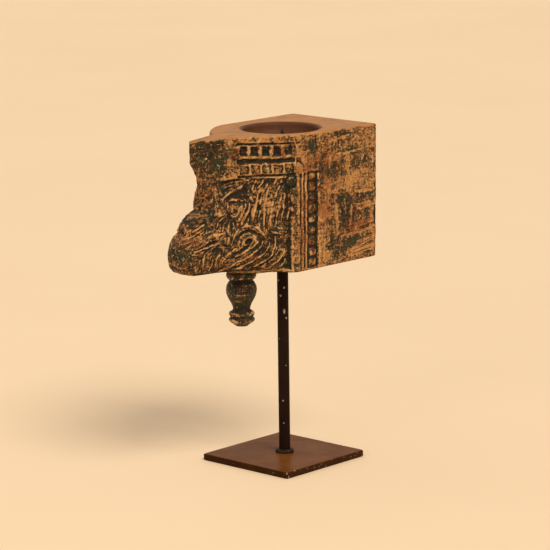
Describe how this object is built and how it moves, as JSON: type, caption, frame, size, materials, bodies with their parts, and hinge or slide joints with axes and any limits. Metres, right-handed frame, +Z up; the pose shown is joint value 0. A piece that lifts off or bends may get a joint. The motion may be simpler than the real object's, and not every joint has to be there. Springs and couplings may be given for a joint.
{
  "type": "carved wooden bracket",
  "caption": "Carved wooden bracket with a prow, dentil bands, beaded borders and a leafy lobe, with a candle recess on top, on a round rod and a square steel plate.",
  "frame": {"origin": "centre of the square plate's underside, on the surface that the object stands on", "axes": "+Z up, -Y the way the carved prow points, +X the side seen in the picture"},
  "size_m": [0.1034, 0.1973, 0.295],
  "materials": {
    "painted_wood": "scraped dark green and black paint over tan and orange-brown wood, satin",
    "painted_drop": "worn dark green paint over tan wood, satin",
    "stand_steel": "dark brown-black lacquer, satin to glossy, with small chips",
    "spike_steel": "dark, dull"
  },
  "bodies": {
    "root": {"base_plate": "stand_steel", "rod": "stand_steel", "weld_bead": "stand_steel", "carved_block": "painted_wood", "turned_drop": "painted_drop", "candle_spike": "spike_steel"}
  },
  "joints": []
}
